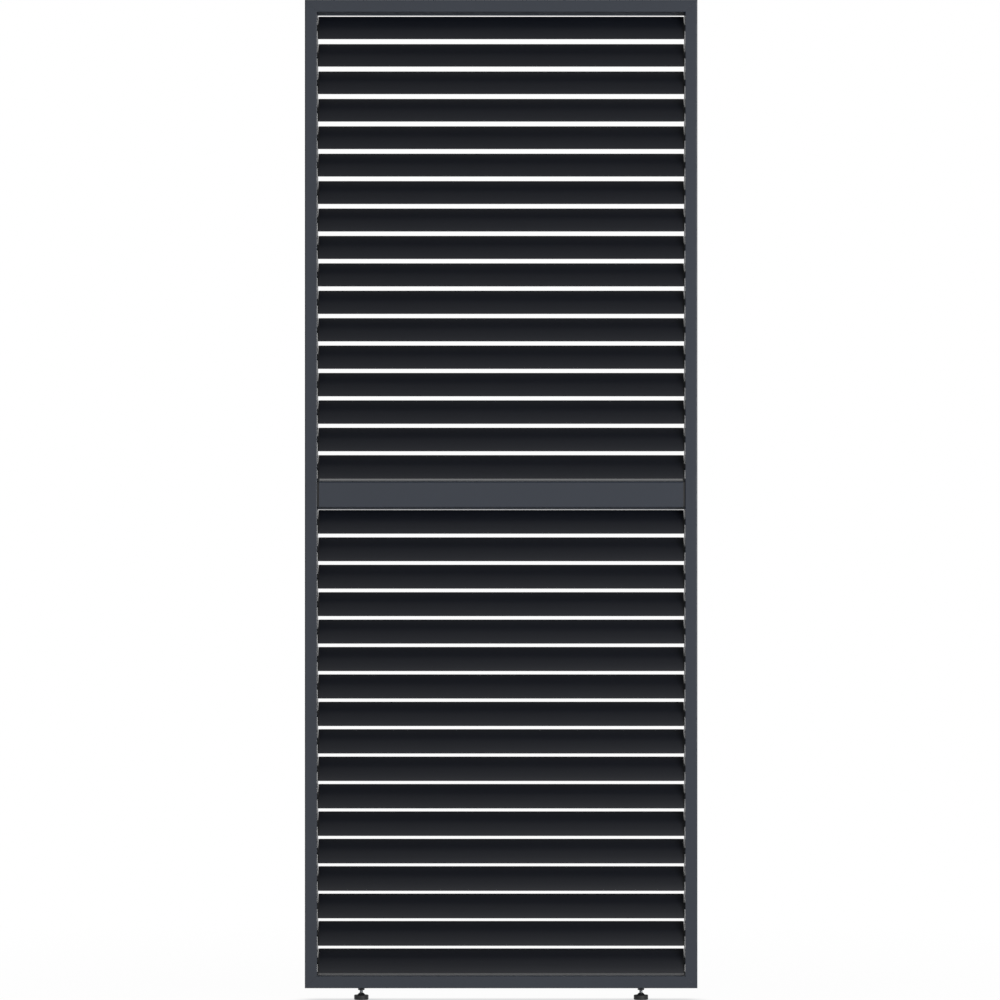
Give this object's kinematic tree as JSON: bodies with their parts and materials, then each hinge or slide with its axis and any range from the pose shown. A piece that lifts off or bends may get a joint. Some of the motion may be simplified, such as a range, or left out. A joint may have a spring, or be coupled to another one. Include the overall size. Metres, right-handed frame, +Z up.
{
  "type": "louvred privacy screen",
  "caption": "Tall louvred privacy screen: slim mitred aluminium frame with a mid rail, banks of linked slats that tilt together, and levelling feet under the bottom rail.",
  "frame": {"origin": "on the floor, under the middle of the screen's width and depth", "axes": "+X to the right seen from the front, front faces -Y, +Z up"},
  "size_m": [0.9, 0.05, 2.294],
  "materials": {
    "frame_powder_coat": "satin",
    "slat_powder_coat": "satin",
    "bush_nylon": "matte",
    "mill_aluminium": "satin",
    "zinc_plated_steel": "satin",
    "black_steel": "satin",
    "grip_rubber": "matte",
    "pad_plastic": "satin"
  },
  "bodies": {
    "frame": {"left_stile": "frame_powder_coat", "right_stile": "frame_powder_coat", "top_rail": "frame_powder_coat", "bottom_rail": "frame_powder_coat", "mid_rail": "frame_powder_coat", "left_pivot_strip": "frame_powder_coat", "right_pivot_strip": "frame_powder_coat", "corner_cleats": "mill_aluminium", "mid_rail_end_plugs": "bush_nylon", "mid_rail_screws": "zinc_plated_steel", "foot_inserts": "zinc_plated_steel", "upper_left_bushes": "bush_nylon", "upper_right_bushes": "bush_nylon", "lower_left_bushes": "bush_nylon", "lower_right_bushes": "bush_nylon"},
    "slat_01": {"slat_01": "slat_powder_coat"},
    "slat_02": {"slat_02": "slat_powder_coat"},
    "slat_03": {"slat_03": "slat_powder_coat"},
    "slat_04": {"slat_04": "slat_powder_coat"},
    "slat_05": {"slat_05": "slat_powder_coat"},
    "slat_06": {"slat_06": "slat_powder_coat"},
    "slat_07": {"slat_07": "slat_powder_coat"},
    "slat_08": {"slat_08": "slat_powder_coat"},
    "slat_09": {"slat_09": "slat_powder_coat"},
    "slat_10": {"slat_10": "slat_powder_coat"},
    "slat_11": {"slat_11": "slat_powder_coat"},
    "slat_12": {"slat_12": "slat_powder_coat"},
    "slat_13": {"slat_13": "slat_powder_coat"},
    "slat_14": {"slat_14": "slat_powder_coat"},
    "slat_15": {"slat_15": "slat_powder_coat"},
    "slat_16": {"slat_16": "slat_powder_coat"},
    "slat_17": {"slat_17": "slat_powder_coat"},
    "slat_18": {"slat_18": "slat_powder_coat"},
    "slat_19": {"slat_19": "slat_powder_coat"},
    "slat_20": {"slat_20": "slat_powder_coat"},
    "slat_21": {"slat_21": "slat_powder_coat"},
    "slat_22": {"slat_22": "slat_powder_coat"},
    "slat_23": {"slat_23": "slat_powder_coat"},
    "slat_24": {"slat_24": "slat_powder_coat"},
    "slat_25": {"slat_25": "slat_powder_coat"},
    "slat_26": {"slat_26": "slat_powder_coat"},
    "slat_27": {"slat_27": "slat_powder_coat"},
    "slat_28": {"slat_28": "slat_powder_coat"},
    "slat_29": {"slat_29": "slat_powder_coat"},
    "slat_30": {"slat_30": "slat_powder_coat"},
    "slat_31": {"slat_31": "slat_powder_coat"},
    "slat_32": {"slat_32": "slat_powder_coat"},
    "slat_33": {"slat_33": "slat_powder_coat"},
    "slat_34": {"slat_34": "slat_powder_coat"},
    "upper_link_bar": {"upper_link_bar": "mill_aluminium"},
    "lower_link_bar": {"lower_link_bar": "mill_aluminium"},
    "left_foot_stud": {"left_foot_stud": "zinc_plated_steel"},
    "right_foot_stud": {"right_foot_stud": "zinc_plated_steel"},
    "left_foot_pad": {"left_foot_pad": "pad_plastic", "left_foot_grips": "grip_rubber"},
    "right_foot_pad": {"right_foot_pad": "pad_plastic", "right_foot_grips": "grip_rubber"},
    "left_lock_nut": {"left_lock_nut": "black_steel"},
    "right_lock_nut": {"right_lock_nut": "black_steel"}
  },
  "joints": [
    {"name": "slat_01_tilt", "type": "hinge", "parent": "frame", "child": "slat_01", "pos_m": [0, 0, 2.2311], "axis": [1, 0, 0], "range_deg": [-56.5, 29.5]},
    {"name": "slat_02_tilt", "type": "hinge", "parent": "frame", "child": "slat_02", "pos_m": [0, 0, 2.1681], "axis": [1, 0, 0], "range_deg": [-56.5, 29.5]},
    {"name": "slat_03_tilt", "type": "hinge", "parent": "frame", "child": "slat_03", "pos_m": [0, 0, 2.1051], "axis": [1, 0, 0], "range_deg": [-56.5, 29.5]},
    {"name": "slat_04_tilt", "type": "hinge", "parent": "frame", "child": "slat_04", "pos_m": [0, 0, 2.0421], "axis": [1, 0, 0], "range_deg": [-56.5, 29.5]},
    {"name": "slat_05_tilt", "type": "hinge", "parent": "frame", "child": "slat_05", "pos_m": [0, 0, 1.9791], "axis": [1, 0, 0], "range_deg": [-56.5, 29.5]},
    {"name": "slat_06_tilt", "type": "hinge", "parent": "frame", "child": "slat_06", "pos_m": [0, 0, 1.9161], "axis": [1, 0, 0], "range_deg": [-56.5, 29.5]},
    {"name": "slat_07_tilt", "type": "hinge", "parent": "frame", "child": "slat_07", "pos_m": [0, 0, 1.8531], "axis": [1, 0, 0], "range_deg": [-56.5, 29.5]},
    {"name": "slat_08_tilt", "type": "hinge", "parent": "frame", "child": "slat_08", "pos_m": [0, 0, 1.7901], "axis": [1, 0, 0], "range_deg": [-56.5, 29.5]},
    {"name": "slat_09_tilt", "type": "hinge", "parent": "frame", "child": "slat_09", "pos_m": [0, 0, 1.7271], "axis": [1, 0, 0], "range_deg": [-56.5, 29.5]},
    {"name": "slat_10_tilt", "type": "hinge", "parent": "frame", "child": "slat_10", "pos_m": [0, 0, 1.6641], "axis": [1, 0, 0], "range_deg": [-56.5, 29.5]},
    {"name": "slat_11_tilt", "type": "hinge", "parent": "frame", "child": "slat_11", "pos_m": [0, 0, 1.6011], "axis": [1, 0, 0], "range_deg": [-56.5, 29.5]},
    {"name": "slat_12_tilt", "type": "hinge", "parent": "frame", "child": "slat_12", "pos_m": [0, 0, 1.5381], "axis": [1, 0, 0], "range_deg": [-56.5, 29.5]},
    {"name": "slat_13_tilt", "type": "hinge", "parent": "frame", "child": "slat_13", "pos_m": [0, 0, 1.4751], "axis": [1, 0, 0], "range_deg": [-56.5, 29.5]},
    {"name": "slat_14_tilt", "type": "hinge", "parent": "frame", "child": "slat_14", "pos_m": [0, 0, 1.4121], "axis": [1, 0, 0], "range_deg": [-56.5, 29.5]},
    {"name": "slat_15_tilt", "type": "hinge", "parent": "frame", "child": "slat_15", "pos_m": [0, 0, 1.3491], "axis": [1, 0, 0], "range_deg": [-56.5, 29.5]},
    {"name": "slat_16_tilt", "type": "hinge", "parent": "frame", "child": "slat_16", "pos_m": [0, 0, 1.2861], "axis": [1, 0, 0], "range_deg": [-56.5, 29.5]},
    {"name": "slat_17_tilt", "type": "hinge", "parent": "frame", "child": "slat_17", "pos_m": [0, 0, 1.2231], "axis": [1, 0, 0], "range_deg": [-56.5, 29.5]},
    {"name": "slat_18_tilt", "type": "hinge", "parent": "frame", "child": "slat_18", "pos_m": [0, 0, 1.0971], "axis": [1, 0, 0], "range_deg": [-56.5, 29.5]},
    {"name": "slat_19_tilt", "type": "hinge", "parent": "frame", "child": "slat_19", "pos_m": [0, 0, 1.0341], "axis": [1, 0, 0], "range_deg": [-56.5, 29.5]},
    {"name": "slat_20_tilt", "type": "hinge", "parent": "frame", "child": "slat_20", "pos_m": [0, 0, 0.9711], "axis": [1, 0, 0], "range_deg": [-56.5, 29.5]},
    {"name": "slat_21_tilt", "type": "hinge", "parent": "frame", "child": "slat_21", "pos_m": [0, 0, 0.9081], "axis": [1, 0, 0], "range_deg": [-56.5, 29.5]},
    {"name": "slat_22_tilt", "type": "hinge", "parent": "frame", "child": "slat_22", "pos_m": [0, 0, 0.8451], "axis": [1, 0, 0], "range_deg": [-56.5, 29.5]},
    {"name": "slat_23_tilt", "type": "hinge", "parent": "frame", "child": "slat_23", "pos_m": [0, 0, 0.7821], "axis": [1, 0, 0], "range_deg": [-56.5, 29.5]},
    {"name": "slat_24_tilt", "type": "hinge", "parent": "frame", "child": "slat_24", "pos_m": [0, 0, 0.7191], "axis": [1, 0, 0], "range_deg": [-56.5, 29.5]},
    {"name": "slat_25_tilt", "type": "hinge", "parent": "frame", "child": "slat_25", "pos_m": [0, 0, 0.6561], "axis": [1, 0, 0], "range_deg": [-56.5, 29.5]},
    {"name": "slat_26_tilt", "type": "hinge", "parent": "frame", "child": "slat_26", "pos_m": [0, 0, 0.5931], "axis": [1, 0, 0], "range_deg": [-56.5, 29.5]},
    {"name": "slat_27_tilt", "type": "hinge", "parent": "frame", "child": "slat_27", "pos_m": [0, 0, 0.5301], "axis": [1, 0, 0], "range_deg": [-56.5, 29.5]},
    {"name": "slat_28_tilt", "type": "hinge", "parent": "frame", "child": "slat_28", "pos_m": [0, 0, 0.4671], "axis": [1, 0, 0], "range_deg": [-56.5, 29.5]},
    {"name": "slat_29_tilt", "type": "hinge", "parent": "frame", "child": "slat_29", "pos_m": [0, 0, 0.4041], "axis": [1, 0, 0], "range_deg": [-56.5, 29.5]},
    {"name": "slat_30_tilt", "type": "hinge", "parent": "frame", "child": "slat_30", "pos_m": [0, 0, 0.3411], "axis": [1, 0, 0], "range_deg": [-56.5, 29.5]},
    {"name": "slat_31_tilt", "type": "hinge", "parent": "frame", "child": "slat_31", "pos_m": [0, 0, 0.2781], "axis": [1, 0, 0], "range_deg": [-56.5, 29.5]},
    {"name": "slat_32_tilt", "type": "hinge", "parent": "frame", "child": "slat_32", "pos_m": [0, 0, 0.2151], "axis": [1, 0, 0], "range_deg": [-56.5, 29.5]},
    {"name": "slat_33_tilt", "type": "hinge", "parent": "frame", "child": "slat_33", "pos_m": [0, 0, 0.1521], "axis": [1, 0, 0], "range_deg": [-56.5, 29.5]},
    {"name": "slat_34_tilt", "type": "hinge", "parent": "frame", "child": "slat_34", "pos_m": [0, 0, 0.0891], "axis": [1, 0, 0], "range_deg": [-56.5, 29.5]},
    {"name": "upper_link_bar_swing", "type": "hinge", "parent": "slat_01", "child": "upper_link_bar", "pos_m": [-0.4344, 0.01167, 2.2339], "axis": [1, 0, 0], "range_deg": [-29.5, 56.5]},
    {"name": "lower_link_bar_swing", "type": "hinge", "parent": "slat_18", "child": "lower_link_bar", "pos_m": [-0.4344, 0.01167, 1.0999], "axis": [1, 0, 0], "range_deg": [-29.5, 56.5]},
    {"name": "left_foot_height", "type": "slide", "parent": "frame", "child": "left_foot_stud", "axis": [0, 0, 1], "range_m": [-0.01, 0.006]},
    {"name": "left_pad_swivel", "type": "hinge", "parent": "left_foot_stud", "child": "left_foot_pad", "pos_m": [-0.321, 0, 0.02], "axis": [0, 0, 1], "continuous": true},
    {"name": "left_nut_spin", "type": "hinge", "parent": "frame", "child": "left_lock_nut", "pos_m": [-0.321, 0, 0.02], "axis": [0, 0, 1], "continuous": true},
    {"name": "right_foot_height", "type": "slide", "parent": "frame", "child": "right_foot_stud", "axis": [0, 0, 1], "range_m": [-0.01, 0.006]},
    {"name": "right_pad_swivel", "type": "hinge", "parent": "right_foot_stud", "child": "right_foot_pad", "pos_m": [0.321, 0, 0.02], "axis": [0, 0, 1], "continuous": true},
    {"name": "right_nut_spin", "type": "hinge", "parent": "frame", "child": "right_lock_nut", "pos_m": [0.321, 0, 0.02], "axis": [0, 0, 1], "continuous": true}
  ],
  "couplings": [
    {"joint": "slat_02_tilt", "follows": "slat_01_tilt", "ratio": 1},
    {"joint": "slat_03_tilt", "follows": "slat_01_tilt", "ratio": 1},
    {"joint": "slat_04_tilt", "follows": "slat_01_tilt", "ratio": 1},
    {"joint": "slat_05_tilt", "follows": "slat_01_tilt", "ratio": 1},
    {"joint": "slat_06_tilt", "follows": "slat_01_tilt", "ratio": 1},
    {"joint": "slat_07_tilt", "follows": "slat_01_tilt", "ratio": 1},
    {"joint": "slat_08_tilt", "follows": "slat_01_tilt", "ratio": 1},
    {"joint": "slat_09_tilt", "follows": "slat_01_tilt", "ratio": 1},
    {"joint": "slat_10_tilt", "follows": "slat_01_tilt", "ratio": 1},
    {"joint": "slat_11_tilt", "follows": "slat_01_tilt", "ratio": 1},
    {"joint": "slat_12_tilt", "follows": "slat_01_tilt", "ratio": 1},
    {"joint": "slat_13_tilt", "follows": "slat_01_tilt", "ratio": 1},
    {"joint": "slat_14_tilt", "follows": "slat_01_tilt", "ratio": 1},
    {"joint": "slat_15_tilt", "follows": "slat_01_tilt", "ratio": 1},
    {"joint": "slat_16_tilt", "follows": "slat_01_tilt", "ratio": 1},
    {"joint": "slat_17_tilt", "follows": "slat_01_tilt", "ratio": 1},
    {"joint": "slat_19_tilt", "follows": "slat_18_tilt", "ratio": 1},
    {"joint": "slat_20_tilt", "follows": "slat_18_tilt", "ratio": 1},
    {"joint": "slat_21_tilt", "follows": "slat_18_tilt", "ratio": 1},
    {"joint": "slat_22_tilt", "follows": "slat_18_tilt", "ratio": 1},
    {"joint": "slat_23_tilt", "follows": "slat_18_tilt", "ratio": 1},
    {"joint": "slat_24_tilt", "follows": "slat_18_tilt", "ratio": 1},
    {"joint": "slat_25_tilt", "follows": "slat_18_tilt", "ratio": 1},
    {"joint": "slat_26_tilt", "follows": "slat_18_tilt", "ratio": 1},
    {"joint": "slat_27_tilt", "follows": "slat_18_tilt", "ratio": 1},
    {"joint": "slat_28_tilt", "follows": "slat_18_tilt", "ratio": 1},
    {"joint": "slat_29_tilt", "follows": "slat_18_tilt", "ratio": 1},
    {"joint": "slat_30_tilt", "follows": "slat_18_tilt", "ratio": 1},
    {"joint": "slat_31_tilt", "follows": "slat_18_tilt", "ratio": 1},
    {"joint": "slat_32_tilt", "follows": "slat_18_tilt", "ratio": 1},
    {"joint": "slat_33_tilt", "follows": "slat_18_tilt", "ratio": 1},
    {"joint": "slat_34_tilt", "follows": "slat_18_tilt", "ratio": 1},
    {"joint": "upper_link_bar_swing", "follows": "slat_01_tilt", "ratio": -1},
    {"joint": "lower_link_bar_swing", "follows": "slat_18_tilt", "ratio": -1}
  ]
}
